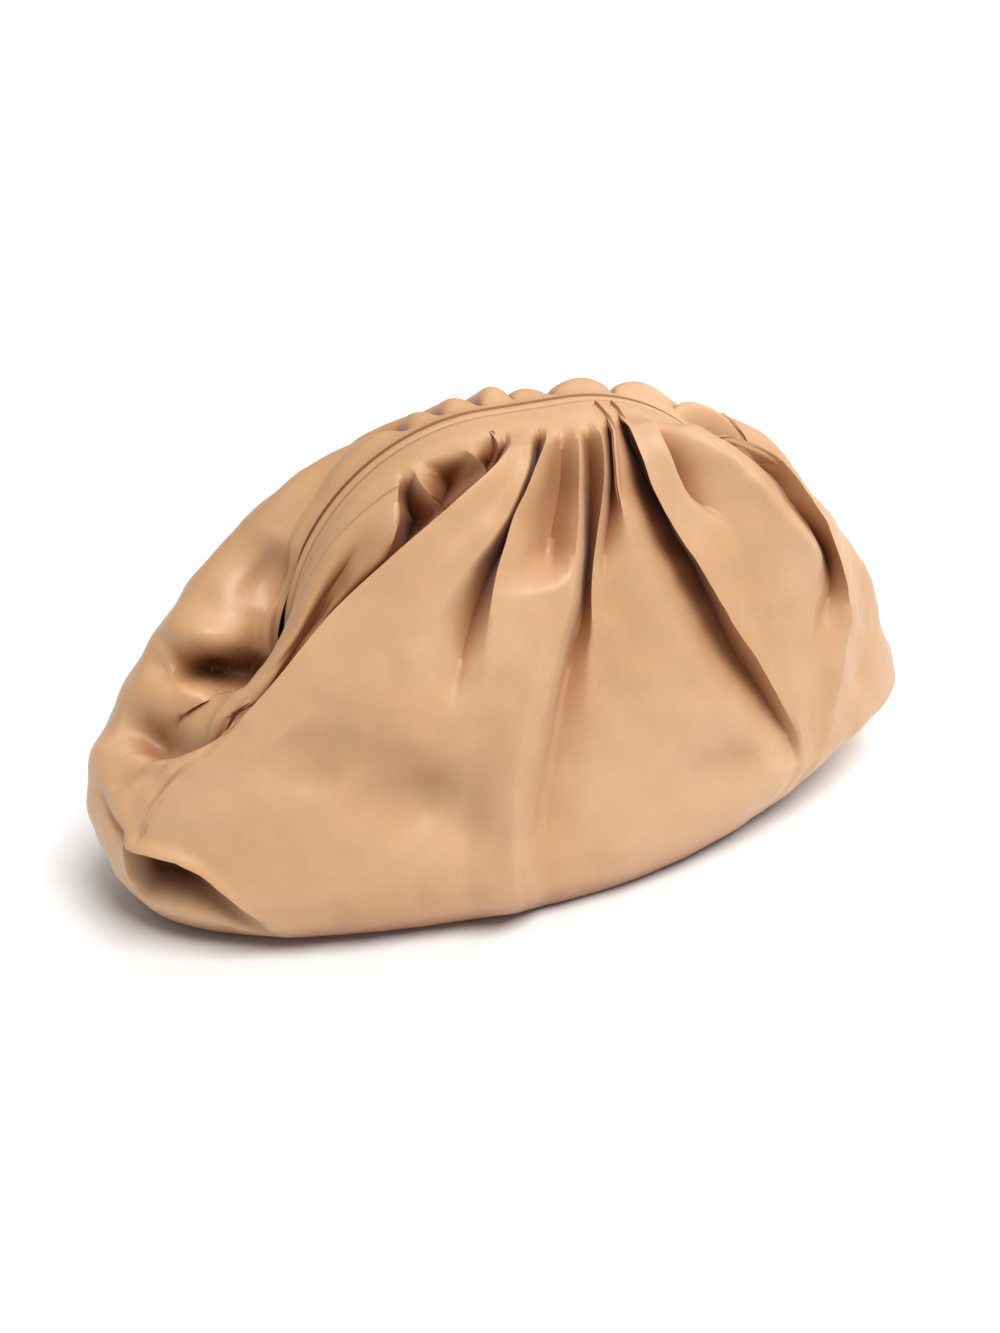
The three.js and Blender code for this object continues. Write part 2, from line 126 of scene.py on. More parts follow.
# The shell's plain form. Each section is a closed line round the bag: how far down the leather it lies, and
# its share of the way along, out and down from the lip to the fullest line, or from that to the foot.
UPPER_SECTIONS = np.array([
    (0, 0, 0, 0),
    (0.03, 0.03, 0.1, 0.01),
    (0.08, 0.08, 0.24, 0.04),
    (0.2, 0.34, 0.42, 0.13),
    (0.37, 0.62, 0.64, 0.32),
    (0.57, 0.86, 0.84, 0.62),
    (0.75, 1, 1, 1),
])
LOWER_SECTIONS = np.array([
    (0.82, 0.1, 0.08, 0.55),
    (0.89, 0.44, 0.4, 0.95),
    (1, 1, 1, 1),
])
KNOTS = np.concatenate([UPPER_SECTIONS[:, 0], LOWER_SECTIONS[:, 0]])

# How the two ends differ from that: more or less of each share, from the yoke down.
LEFT_END_CHANGE = {
    "upper": np.array([
        (0, 0, 0), (0, 0, 0), (0, 0, 0), (-0.03, 0, 0), (-0.05, 0, 0), (-0.03, 0, 0), (-0.01, 0, 0),
    ]),
    "lower": np.array([(0.02, -0.04, 0), (0.02, -0.02, 0), (0, 0, 0)]),
}
RIGHT_END_CHANGE = {
    "upper": np.array([
        (0, 0, 0), (0.02, 0, 0), (0.06, 0, -0.01), (0.13, 0, -0.03), (0.06, 0, -0.02), (-0.03, 0, 0),
        (-0.015, 0, 0),
    ]),
    "lower": np.array([(0.28, 0.28, -0.16), (0.28, 0.3, -0.2), (0, 0, 0)]),
}
LEFT_END = 0.42  # the shares between which the ends turn into the middle
RIGHT_END = 0.5


def knot_weights(way):
    """How much each section counts at a way down the leather, for a smooth curve through them all."""
    way = np.asarray(way, float)
    last = len(KNOTS) - 1
    start = np.clip(np.searchsorted(KNOTS, way) - 1, 0, last - 1)
    width = KNOTS[start + 1] - KNOTS[start]
    t = (way - KNOTS[start]) / width
    each = np.eye(last + 1)

    def slope(knot):
        low = np.maximum(knot - 1, 0)
        high = np.minimum(knot + 1, last)
        return (each[high] - each[low]) / (KNOTS[high] - KNOTS[low])[..., None]

    t = t[..., None]
    width = width[..., None]
    rise = each[start + 1] - each[start]
    a = slope(start) * width
    b = slope(start + 1) * width
    return each[start] + t * a + t * t * (3 * rise - 2 * a - b) + t * t * t * (a + b - 2 * rise)


def arch_at(share):
    """A point on the frame's arch, at a share of its length from the left end, and the outward direction."""
    arm = FRAME_TOP - FRAME_CORNER - HINGE_HEIGHT + CLEARANCE
    corner = FRAME_CORNER * math.pi / 2
    top = FRAME_SPAN - 2 * FRAME_CORNER
    way = np.abs(share - 0.5) * (2 * arm + 2 * corner + top)
    side = np.where(share < 0.5, -1, 1)
    turn = np.clip((way - top / 2) / FRAME_CORNER, 0, math.pi / 2)
    arm_way = np.maximum(way - top / 2 - corner, 0)
    x = side * (np.minimum(way, top / 2) + FRAME_CORNER * np.sin(turn))
    z = FRAME_TOP - FRAME_CORNER + FRAME_CORNER * np.cos(turn) - arm_way
    return x, z, side * np.sin(turn), np.cos(turn)


def power(value, exponent):
    return np.sign(value) * np.abs(value) ** exponent


def plain_form(turn, way):
    """Points of the shell with no folds. turn is 0 to 1 in front, left to right, and on to 2 behind."""
    turn, way = np.broadcast_arrays(np.mod(turn, 2), way)
    front = turn <= 1
    share = np.where(front, turn, 2 - turn)
    angle = math.pi * share
    outward = np.where(front, -1, 1)
    arch_x, arch_z, out_x, out_z = arch_at(share)
    from_end = np.minimum(share, 1 - share) / LIP_EASE
    clear = CLEARANCE + LEATHER * np.clip(2 - from_end, 0, 1)
    lip_depth = (MOUTH_GAP / 2 + BAND_DEPTH + CLEARANCE) * np.sqrt(np.clip(from_end, 0, 1))
    along = np.cos(angle)
    across = np.sin(angle)
    tip = mix(LEFT_TIP_HEIGHT, RIGHT_TIP_HEIGHT, share)
    rightness = smooth((share - RIGHT_HALF_START) / RIGHT_HALF_BLEND)
    slimming = 1 - RIGHT_SLIMMING * rightness
    rise = np.where(front, BELLY_RISE * rightness * across, 0)
    foot_reach = mix(FOOT_LEFT, FOOT_RIGHT, smooth(share))
    lip = (arch_x + out_x * clear, outward * lip_depth, arch_z + out_z * clear)
    belly = (
        -BAG_LENGTH / 2 * power(along, BELLY_SQUARENESS),
        outward * np.where(front, FRONT_DEPTH * slimming, BACK_DEPTH) * power(across, BELLY_SQUARENESS),
        mix(tip, BELLY_HEIGHT, across) + rise,
    )
    foot = (
        -foot_reach * power(along, FOOT_SQUARENESS),
        outward * np.where(front, FOOT_FRONT * slimming, FOOT_BACK) * power(across, FOOT_SQUARENESS),
        np.zeros_like(share),
    )
    weights = knot_weights(way)
    count = len(UPPER_SECTIONS)
    upper = weights[..., :count]
    lower = weights[..., count:]
    left = 1 - smooth(share / LEFT_END)
    right = smooth((share - RIGHT_END) / (1 - RIGHT_END))
    result = []
    for axis in range(3):
        ends = [
            left[..., None] * LEFT_END_CHANGE[part][:, axis]
            + right[..., None] * RIGHT_END_CHANGE[part][:, axis]
            for part in ("upper", "lower")
        ]
        upper_share = UPPER_SECTIONS[:, 1 + axis] + ends[0]
        lower_share = LOWER_SECTIONS[:, 1 + axis] + ends[1]
        from_lip = (upper * (1 - upper_share)).sum(-1)
        to_belly = (upper * upper_share).sum(-1) + (lower * (1 - lower_share)).sum(-1)
        to_foot = (lower * lower_share).sum(-1)
        result.append(lip[axis] * from_lip + belly[axis] * to_belly + foot[axis] * to_foot)
    return np.stack(result, -1) + np.array([MIDDLE_X, MIDDLE_Y, 0])


def unit(vectors):
    return vectors / np.maximum(np.linalg.norm(vectors, axis=-1, keepdims=True), 1e-12)


NORMAL_STEP = 0.005


def plain_normal(turn, way):
    """The outward direction of the plain form."""
    along = plain_form(turn + NORMAL_STEP, way) - plain_form(turn - NORMAL_STEP, way)
    below = plain_form(turn, np.minimum(way + NORMAL_STEP, 1))
    above = plain_form(turn, np.maximum(way - NORMAL_STEP, 0))
    return unit(np.cross(below - above, along))


# A net over the side of the plain form that the photograph shows, for finding the place of a pixel.
PAST_OUTLINE = 0.02  # how far the net goes on past the outline, as a share of the camera's distance
FLAT_VIEW = 0.05  # the least spread in the photograph for which a place is refined
NET_TURNS, NET_WAYS = np.meshgrid(np.linspace(-0.3, 0.94, 311), np.linspace(0.01, 0.98, 195), indexing="ij")
NET_POINTS = plain_form(NET_TURNS, NET_WAYS)
NET_NORMALS = plain_normal(NET_TURNS, NET_WAYS)
NET_FACING = ((EYE - NET_POINTS) * NET_NORMALS).sum(-1) > -PAST_OUTLINE * DISTANCE


def leather_place(x, y, height):
    """The turn and way at which leather raised by that height shows at a pixel of the photograph."""
    pixels = photo_pixels(NET_POINTS + NET_NORMALS * height)
    distance = np.hypot(pixels[..., 0] - x, pixels[..., 1] - y)
    distance = np.where(NET_FACING, distance, np.inf)
    i, j = np.unravel_index(np.argmin(distance), distance.shape)
    i = min(max(i, 1), NET_TURNS.shape[0] - 2)
    j = min(max(j, 1), NET_TURNS.shape[1] - 2)
    per_turn_step = (pixels[i + 1, j] - pixels[i - 1, j]) / 2
    per_way_step = (pixels[i, j + 1] - pixels[i, j - 1]) / 2
    steps = np.stack([per_turn_step, per_way_step], 1)
    missing = np.array([x, y]) - pixels[i, j]
    move = np.clip(np.linalg.lstsq(steps, missing, rcond=FLAT_VIEW)[0], -1, 1)
    turn_step = NET_TURNS[1, 0] - NET_TURNS[0, 0]
    way_step = NET_WAYS[0, 1] - NET_WAYS[0, 0]
    return NET_TURNS[i, j] + move[0] * turn_step, NET_WAYS[i, j] + move[1] * way_step


# The folds, in order round the bag. A place is either a pixel of the photograph (At) or a turn and a way down
# the leather (On), each with its height over the plain form in millimetres, below 0 for a valley. Each fold
# has a name, how soft its line is (1 rounds it off, 0 leaves a crease) and its places.
def At(x, y, height):
    turn, way = leather_place(x, y, height * MM)
    return way, turn, height * MM


def On(turn, way, height):
    return way, turn, height * MM


HEIGHT_WAYS = (0.08, 0.2, 0.37, 0.57, 0.75, 0.82)


def by_sections(shares, heights, mirrored=False):
    """Places at the crown, neck, shoulder, breast, belly and hem."""
    turns = [2 - share if mirrored else share for share in (*shares, shares[-1])]
    return [On(turn, way, height) for turn, way, height in zip(turns, HEIGHT_WAYS, heights)]


FRONT_FOLDS = [
    ("left end", 1, by_sections((0, 0, 0, 0, 0), (0, 3, 7, 7, 4, 3))),
    ("left limb", 1, [
        On(0.05, 0.08, 0), On(0.05, 0.14, -4), On(0.05, 0.2, -7), On(0.05, 0.3, -8), On(0.045, 0.4, -5),
        On(0.04, 0.5, -1), On(0.035, 0.57, 2), On(0.02, 0.75, 4), On(0.02, 0.82, 4),
    ]),
    ("left limb top", 1, [
        On(0.15, 0.06, 0), On(0.14, 0.1, -3), On(0.135, 0.15, -11), On(0.13, 0.22, -18),
        On(0.125, 0.3, -20), On(0.12, 0.38, -13), On(0.1, 0.48, -5), On(0.085, 0.57, -1),
        On(0.055, 0.75, 3), On(0.055, 0.82, 3),
    ]),
    ("limb slope", 1, [
        On(0.25, 0.06, 1), On(0.25, 0.1, 1), On(0.245, 0.14, -3), On(0.235, 0.2, -13), On(0.215, 0.3, -22),
        On(0.19, 0.38, -19), On(0.145, 0.48, -8), On(0.115, 0.57, -1), On(0.075, 0.75, 4),
    ]),
    ("limb crest", 0.8, [
        At(392, 470, 1), At(398, 495, 3), At(397, 528, 2), At(386, 556, -1), On(0.26, 0.32, -18),
        On(0.235, 0.37, -20), On(0.128, 0.57, -2), On(0.082, 0.75, 4),
    ]),
    ("pocket one", 0.5, [
        At(402, 478, -1), At(409, 505, -13), At(413, 528, -22), At(405, 550, -24), On(0.24, 0.37, -20),
        On(0.131, 0.57, -2), On(0.084, 0.75, 4),
    ]),
    ("tab one", 0.5, [
        At(409, 464, 2), At(418, 479, 6), At(432, 497, 7), At(444, 511, 5), On(0.243, 0.37, -20),
        On(0.134, 0.57, -2), On(0.086, 0.75, 4),
    ]),
    ("pocket two", 0.4, [
        At(416, 464, -1), At(432, 478, -13), At(448, 492, -20), On(0.37, 0.2, -17), On(0.246, 0.37, -20),
        On(0.137, 0.57, -2), On(0.088, 0.75, 4),
    ]),
    ("tab two", 0.5, [
        At(453, 436, 2), At(464, 445, 5), At(475, 457, 6), At(486, 471, 4), On(0.38, 0.2, -17),
        On(0.249, 0.37, -20), On(0.14, 0.57, -2), On(0.09, 0.75, 4),
    ]),
    ("pocket three", 0.4, [
        At(464, 432, -1), At(476, 443, -7), At(488, 455, -13), On(0.384, 0.2, -17), On(0.252, 0.37, -19),
        On(0.143, 0.57, -2), On(0.092, 0.75, 4),
    ]),
    ("tab three", 0.8, [
        At(487, 425, 2), At(494, 435, 1), At(498, 448, -2), On(0.388, 0.2, -17), On(0.256, 0.37, -18),
        On(0.146, 0.57, -2), On(0.094, 0.75, 4),
    ]),
    ("under the sweep", 0.5, [
        At(502, 424, -1), At(504, 437, -3), On(0.392, 0.2, -16), On(0.26, 0.37, -15), On(0.149, 0.57, -2),
        On(0.096, 0.75, 4),
    ]),
    ("sweep", 0.8, [
        At(511, 426, 3), At(512, 440, 6), At(491, 469, 10), At(444, 511, 13), At(391, 557, 14),
        At(329, 615, 13), At(260, 698, 10), At(204, 756, 8), At(169, 785, 6), At(150, 812, 5),
        On(0.1, 0.75, 4),
    ]),
    ("sweep face", 1, [
        At(520, 426, 4), At(522, 445, 7), At(515, 475, 8), At(485, 515, 8), At(430, 580, 8),
        At(370, 650, 7), At(300, 740, 5), At(270, 800, 4), At(250, 850, 4),
    ]),
    ("sweep right", 0.9, [
        At(526, 428, 4), At(529, 450, 7), At(527, 470, 8), At(519, 492, 8), At(508, 516, 8),
        At(487, 545, 7), At(462, 575, 6), At(430, 620, 6), At(400, 700, 7), At(370, 780, 4),
        At(350, 860, 4),
    ]),
    ("left valley", 0.3, [
        At(533, 428, -3), At(536, 448, -8), At(534, 470, -11), At(527, 492, -12), At(516, 520, -12),
        At(503, 548, -11), At(488, 580, -8), At(472, 620, -5), At(462, 655, -1), At(450, 720, 6),
        At(430, 800, 1), At(420, 880, 2),
    ]),
    ("drop left", 0.7, [
        At(548, 426, 3), At(545, 443, 6), At(537, 463, 8), At(528, 486, 9), At(514, 516, 9),
        At(505, 544, 9), At(496, 578, 9), At(491, 605, 9), At(486, 646, 9), At(481, 692, 8),
        At(475, 730, 7), At(470, 800, 4), At(464, 880, 3),
    ]),
    ("drop valley", 0.8, [
        At(558, 430, -2), At(561, 455, -4), At(559, 490, -6), At(553, 520, -6), At(550, 548, -5),
        At(549, 568, 0), At(549, 590, 9), At(543, 630, 11), At(530, 690, 12), At(518, 750, 13),
        At(514, 810, 13), At(512, 860, 11), At(516, 900, 8),
    ]),
    ("drop right", 0.8, [
        At(576, 424, 3), At(579, 450, 6), At(579, 475, 8), At(578, 521, 8), At(576, 555, 8),
        At(569, 603, 8), At(556, 648, 8), At(546, 690, 8), At(536, 733, 8), At(528, 772, 8),
        At(524, 810, 8), At(521, 850, 8), At(530, 892, 6),
    ]),
    ("drop hollow", 0.7, [
        At(585, 428, -2), At(588, 450, -4), At(589, 475, -6), At(589, 521, -7), At(588, 560, -8),
        At(584, 605, -8), At(573, 650, -8), At(563, 692, -7), At(555, 735, -6), At(548, 775, -5),
        At(543, 812, -4), At(541, 850, -2), At(548, 890, 0),
    ]),
    ("middle pleat", 0.6, [
        At(596, 422, 2), At(602, 440, 5), At(604, 463, 6), At(602, 498, 5.5), At(597, 532, 4),
        At(593, 562, 2), At(592, 600, 0), At(590, 650, -1), At(588, 720, 0), At(584, 800, 0),
        At(584, 870, 0),
    ]),
    ("middle valley", 0.4, [
        At(605, 418, -2), At(610, 440, -4), At(612, 465, -5), At(610, 500, -5), At(606, 535, -4),
        At(604, 568, -2), At(606, 610, 0), At(616, 680, 1), At(622, 760, 1), At(620, 850, 0),
    ]),
    ("valley shoulder", 1, [
        At(608, 414, 2), At(613, 430, 4), At(615, 455, 5), At(618, 489, 4), At(625, 520, 4),
        At(640, 570, 3), At(660, 625, 3), At(684, 670, 3), At(712, 710, 3), At(738, 742, 2),
        On(0.66, 0.76, 0),
    ]),
    ("right valley", 0.6, [
        At(616, 412, -2), At(624, 432, -7), At(634, 455, -12), At(645, 476, -14), At(658, 501, -15),
        At(673, 532, -14), At(693, 565, -13), At(709, 602, -12), At(729, 645, -11), At(751, 676, -9),
        At(771, 707, -7), At(786, 733, -5), On(0.685, 0.76, -1),
    ]),
    ("right fold", 0.7, [
        At(619, 404, 3), At(631, 430, 7), At(643, 459, 9), At(653, 487, 10), At(665, 512, 9),
        At(679, 535, 8), At(703, 571, 7), At(721, 602, 6), At(741, 635, 6), At(763, 668, 4),
        At(784, 706, 2), At(797, 732, 0), On(0.69, 0.76, 0),
    ]),
    ("right fold crest", 0.8, [
        At(640, 398, 5), At(651, 413, 9), At(662, 436, 12), At(673, 459, 13), At(680, 479, 12),
        At(686, 500, 9), At(702, 523, 6), At(728, 560, 5), At(752, 610, 4), At(775, 660, 3),
        On(0.694, 0.76, 0),
    ]),
    ("right hollow", 0.4, [
        On(0.641, 0.03, 0), On(0.632, 0.08, -2), On(0.622, 0.14, -6), On(0.62, 0.2, -8),
        On(0.627, 0.27, -3), At(722, 519, 3), At(742, 550, 5), At(768, 600, 5), At(788, 650, 3),
        On(0.698, 0.76, 0),
    ]),
    ("right sweep", 0.8, [
        At(664, 396, 4), At(681, 410, 6), At(699, 427, 9), At(717, 444, 11), At(735, 461, 13),
        At(757, 484, 13), At(775, 503, 12), At(790, 521, 12), At(804, 537, 11), At(817, 556, 8),
        At(818, 590, 4), On(0.7, 0.62, 1), On(0.702, 0.76, 0),
    ]),
    ("outer hollow", 0.8, [
        At(697, 403, 1), At(716, 420, 1), At(738, 441, 1), At(762, 466, 1), At(787, 496, 1),
        At(808, 525, 0), At(823, 548, -1), At(829, 585, 0), On(0.715, 0.62, 1), On(0.706, 0.76, 0),
    ]),
    ("outer roll", 0.5, [
        At(705, 397, 5), At(757, 436, 9), At(806, 490, 10), At(838, 550, 10), At(851, 615, 10),
        At(840, 680, 7), On(0.712, 0.76, 1),
    ]),
    ("outer slope", 1, [
        At(745, 410, 3), At(790, 445, 3), At(822, 490, 3), At(845, 530, 3), At(862, 590, 3),
        At(868, 640, 2), At(860, 690, 1), On(0.78, 0.76, 0),
    ]),
    ("right gusset", 1, by_sections((0.86, 0.9, 0.935, 0.95, 0.94), (0, 4, 4, 1, -2, -2))),
]
BACK_FOLDS = [
    ("right end", 1, by_sections((1, 1, 1, 1, 1), (0, 2, 4, 0, 0, 0), True)),
    ("back right limb", 1, by_sections((0.9, 0.91, 0.92, 0.93, 0.93), (4, 5, 4, 0, 0, 0), True)),
    ("bump eight", 0.9, by_sections((0.785, 0.8, 0.815, 0.84, 0.84), (14, 14, 9, 3, 2, 0), True)),
    ("gap eight", 0.3, by_sections((0.72, 0.735, 0.75, 0.77, 0.77), (3, 0, -3, -2, 0, 0), True)),
    ("bump seven", 0.9, by_sections((0.67, 0.68, 0.69, 0.71, 0.71), (8, 9, 7, 2, 2, 0), True)),
    ("gap seven", 0.3, by_sections((0.632, 0.635, 0.64, 0.64, 0.64), (-1, -6, -6, -4, 0, 0), True)),
    ("bump six", 0.9, by_sections((0.595, 0.59, 0.585, 0.58, 0.58), (6, 6, 5, 2, 2, 0), True)),
    ("gap six", 0.3, by_sections((0.55, 0.548, 0.545, 0.54, 0.54), (-3, -6, -6, -2, 0, 0), True)),
    ("bump five", 0.9, by_sections((0.52, 0.515, 0.51, 0.5, 0.49), (4, 5, 5, 3, 2, 0), True)),
    ("gap five", 0.3, by_sections((0.5, 0.492, 0.48, 0.46, 0.44), (0, -3, -5, -4, 0, 0), True)),
    ("bump four", 0.9, by_sections((0.48, 0.465, 0.445, 0.42, 0.4), (7, 8, 7, 4, 2, 0), True)),
    ("gap four", 0.3, by_sections((0.458, 0.44, 0.41, 0.38, 0.36), (-3, -5, -5, -2, 0, 0), True)),
    ("bump three", 0.9, by_sections((0.43, 0.41, 0.38, 0.34, 0.32), (5, 7, 8, 4, 2, 0), True)),
    ("gap three", 0.3, by_sections((0.408, 0.385, 0.35, 0.3, 0.28), (-4, -4, 0, 2, 0, 0), True)),
    ("bump two", 0.9, by_sections((0.385, 0.36, 0.32, 0.27, 0.25), (4, 8, 10, 6, 2, 0), True)),
    ("gap two", 0.3, by_sections((0.362, 0.335, 0.29, 0.24, 0.22), (-4, 0, 7, 6, 2, 0), True)),
    ("bump one", 0.9, by_sections((0.33, 0.29, 0.25, 0.21, 0.19), (4, 9, 12, 8, 3, 0), True)),
    ("flank hollow", 1, by_sections((0.235, 0.205, 0.175, 0.14, 0.12), (0, 5, 11, 10, 5, 2), True)),
    ("back left limb", 1, by_sections((0.12, 0.1, 0.09, 0.07, 0.06), (2, 6, 10, 11, 7, 4), True)),
]
FOLDS = FRONT_FOLDS + BACK_FOLDS
LEAST_STEP = 0.012  # of way, between two places of a fold
FLAT_LIP = 0.03  # above this way the folds are pressed flat against the frame
FULL_FOLDS = 0.1
FULL_PUFFS = 0.05  # the same for the puffs behind, which start at the frame
FOLDS_FADE = 0.78  # from here down to the foot they are pressed flat by the weight
FOLDS_END = 0.9


def even_curve(knots, values, at):
    """A smooth curve through the values that doesn't swing past them."""
    knots = np.asarray(knots, float)
    values = np.asarray(values, float)
    widths = np.diff(knots)
    rises = np.diff(values) / widths
    slopes = np.zeros(len(knots))
    same = rises[:-1] * rises[1:] > 0
    slopes[1:-1][same] = 2 * rises[:-1][same] * rises[1:][same] / (rises[:-1][same] + rises[1:][same])
    slopes[0] = rises[0]
    slopes[-1] = rises[-1]
    at = np.clip(at, knots[0], knots[-1])
    i = np.clip(np.searchsorted(knots, at) - 1, 0, len(widths) - 1)
    t = (at - knots[i]) / widths[i]
    a = slopes[i] * widths[i]
    b = slopes[i + 1] * widths[i]
    rise = values[i + 1] - values[i]
    return values[i] + t * a + t * t * (3 * rise - 2 * a - b) + t * t * t * (a + b - 2 * rise)


def fold_lines(ways):
    """Every fold's turn and height at each way down the leather."""
    turns = []
    heights = []
    fade_out = 1 - smooth((ways - FOLDS_FADE) / (FOLDS_END - FOLDS_FADE))
    for index, (_, _, places) in enumerate(FOLDS):
        full = FULL_FOLDS if index < len(FRONT_FOLDS) else FULL_PUFFS
        fade = smooth((ways - FLAT_LIP * full / FULL_FOLDS) / (full * (1 - FLAT_LIP / FULL_FOLDS))) * fade_out
        kept = []
        for place in sorted(places):
            if not kept or place[0] - kept[-1][0] > LEAST_STEP:
                kept.append(place)
        knots, turn, height = zip(*kept)
        turns.append(even_curve(knots, turn, ways))
        heights.append(even_curve(knots, height, ways) * fade)
    return np.array(turns), np.array(heights)


CREASE_STEEPNESS = 2.2
PUFF = 0.48  # below 1 the folds behind are fuller and their gaps narrower


def fold_profile(t, soft_start, soft_end):
    """Goes from 0 to 1, level at a soft end and steep at a creased one."""
    start = (1 - soft_start) * CREASE_STEEPNESS
    end = (1 - soft_end) * CREASE_STEEPNESS
    return 3 * t * t - 2 * t ** 3 + start * (t ** 3 - 2 * t * t + t) + end * (t ** 3 - t * t)


# The pocket at the bag's lower left corner: along its edge the leather above hangs over the leather below. A
# row of the mesh follows the edge. Depths and widths are in millimetres.
POCKET_EDGE = [
    At(128, 838, 0), At(137, 844, 0), At(158, 848, 0), At(182, 855, 0), At(204, 866, 0), At(231, 890, 0),
    At(266, 914, 0),
]
POCKET_ROW = 0.76  # the way of the row that follows the edge
POCKET_REACH = 0.14
POCKET_DEPTH = 13
POCKET_WALL = 1.5
POCKET_FLOOR = 12
POCKET_WIDTH = 8
POCKET_SWELL = 5
POCKET_SWELL_WIDTH = 5
POCKET_EASE = 0.5  # over what share of the edge's length the rows ease back, past each of its ends
POCKET_SKEW = 0.6  # below 1 the pocket is deepest near its left end


# Soft dents and ridges along a few places: how deep they press the leather in, and their half width, both in
# millimetres.
DENTS = [
    ("hinge fold", 26, 5, [
        On(-0.078, 0.36, 0), On(-0.07, 0.31, 0), On(-0.056, 0.25, 0), On(-0.035, 0.18, 0),
        On(-0.02, 0.12, 0), On(0.01, 0.07, 0), On(0.03, 0.02, 0),
    ]),
    ("over the hinge fold", -7, 8, [
        On(-0.11, 0.36, 0), On(-0.1, 0.28, 0), On(-0.085, 0.2, 0), On(-0.07, 0.1, 0),
    ]),
    ("under the hinge fold", -5, 7, [
        On(-0.04, 0.36, 0), On(-0.01, 0.26, 0), On(0.03, 0.24, 0), On(0.08, 0.22, 0),
    ]),
    ("valley of the gusset", 15, 8, [
        On(-0.065, 0.55, 0), On(-0.03, 0.49, 0), On(0.02, 0.43, 0), On(0.07, 0.43, 0), On(0.12, 0.45, 0),
        On(0.17, 0.46, 0),
    ]),
    ("lower crease of the gusset", 3, 4, [At(108, 793, 0), At(137, 775, 0), At(168, 760, 0)]),
    ("corner crease", 3.5, 3, [On(-0.02, 0.72, 0), At(118, 825, 0), At(140, 848, 0)]),
    ("hollow at the arm", 9, 11, [On(-0.2, 0.14, 0), On(-0.15, 0.12, 0), On(-0.1, 0.12, 0)]),
    ("face dent", 6, 19, [At(290, 725, 0), At(315, 757, 0), At(345, 790, 0)]),
    ("face ridge", -3, 13, [At(280, 785, 0), At(350, 818, 0), At(420, 843, 0), At(480, 868, 0)]),
    ("face bulge", -3, 18, [At(370, 735, 0), At(425, 742, 0), At(470, 748, 0)]),
    ("low dent", 8, 17, [At(340, 775, 0), At(420, 802, 0), At(490, 815, 0)]),
    ("panel dent", 5, 13, [At(680, 770, 0), At(725, 766, 0), At(770, 757, 0)]),
]
DENT_FADE = 0.8
DENT_END = 0.04  # a dent fades no further than it has at this share of its length
CHAIN_STEPS = 6


def chain_points(places):
    """A polyline on the plain form through some places."""
    chain = []
    for (way, turn, _), (next_way, next_turn, _) in zip(places, places[1:]):
        t = np.arange(CHAIN_STEPS) / CHAIN_STEPS
        chain.append(plain_form(mix(turn, next_turn, t), mix(way, next_way, t)))
    way, turn, _ = places[-1]
    return np.concatenate([*chain, plain_form(turn, way)[None]])


def dents_at(points):
    """How far the dents press points of the plain form in."""
    depth = np.zeros(points.shape[:-1])
    for _, push, wide, places in DENTS:
        chain = chain_points(places)
        links = len(chain) - 1
        nearest = np.full(depth.shape, np.inf)
        along = np.zeros(depth.shape)
        for i in range(links):
            line = chain[i + 1] - chain[i]
            to_point = points - chain[i]
            t = np.clip((to_point @ line) / (line @ line), 0, 1)
            gap = np.linalg.norm(to_point - t[..., None] * line, axis=-1)
            closer = gap < nearest
            nearest = np.where(closer, gap, nearest)
            along = np.where(closer, (i + t) / links, along)
        fade = np.sin(math.pi * np.clip(along, DENT_END, 1 - DENT_END)) ** DENT_FADE
        depth += push * MM * (fade * np.exp(-((nearest / (wide * MM)) ** 2)))
    return depth


def pocket_at(turns, ways):
    """Ways moved so that rows follow the pocket's edge, and how far the pocket presses the leather in."""
    turns = np.where(turns > 1.5, turns - 2, turns)
    way, turn, _ = (np.array(column) for column in zip(*POCKET_EDGE))
    order = np.argsort(turn)
    turn = turn[order]
    along = (turns - turn[0]) / (turn[-1] - turn[0])
    inside = np.clip(along, 0.001, 0.999)
    fade = np.where((along > 0) & (along < 1), np.sin(math.pi * inside ** POCKET_SKEW) ** DENT_FADE, 0)
    near = smooth((along + POCKET_EASE) / POCKET_EASE) * smooth((1 + POCKET_EASE - along) / POCKET_EASE)
    shift = (np.interp(turns, turn, way[order]) - POCKET_ROW) * near
    moved = ways + shift * smooth(1 - np.abs(ways - POCKET_ROW) / POCKET_REACH)
    below = (ways - POCKET_ROW) * LEATHER_HEIGHT / MM
    hollow = smooth(below / POCKET_WALL) * (1 - smooth((below - POCKET_FLOOR) / POCKET_WIDTH))
    bulge = np.exp(-((np.minimum(below, 0) / POCKET_SWELL_WIDTH) ** 2)) * (1 - smooth(below / POCKET_WALL))
    return moved, fade * (POCKET_DEPTH * hollow - POCKET_SWELL * bulge) * MM


# How finely the shell is meshed: rows between two ways down the leather, and columns between two folds.
ROW_BANDS = (
    (0, 0.062, 10),
    (0.062, 0.1, 12),
    (0.1, 0.72, 84),
    (0.72, 0.757, 8),
    (0.757, 0.776, 14),
    (0.776, 0.92, 24),
    (0.92, 1, 6),
)
COLUMN_WIDTH = 0.003
LEAST_COLUMNS = 4
MOST_COLUMNS = 14
BREAST_WAY = 0.5
ROWS_PAST_BREAST = 30  # the folds are measured down to this many rows below it
FOOT_RINGS = 3
DEEPEST = 0.03  # no valley goes deeper than this
END_DEEPEST = 0.013  # the same at the narrow ends
END_BLEND = 0.2  # the share of a side over which the ends' limit turns into the other
DENT_SHADE = 0.045  # how deep a dent must be for its painted shade to be fully dark
# the same for the pocket's painted shade
POCKET_SHADE = 0.011
LEATHER_HEIGHT = 0.29  # from the lip to the edge of the floor patch

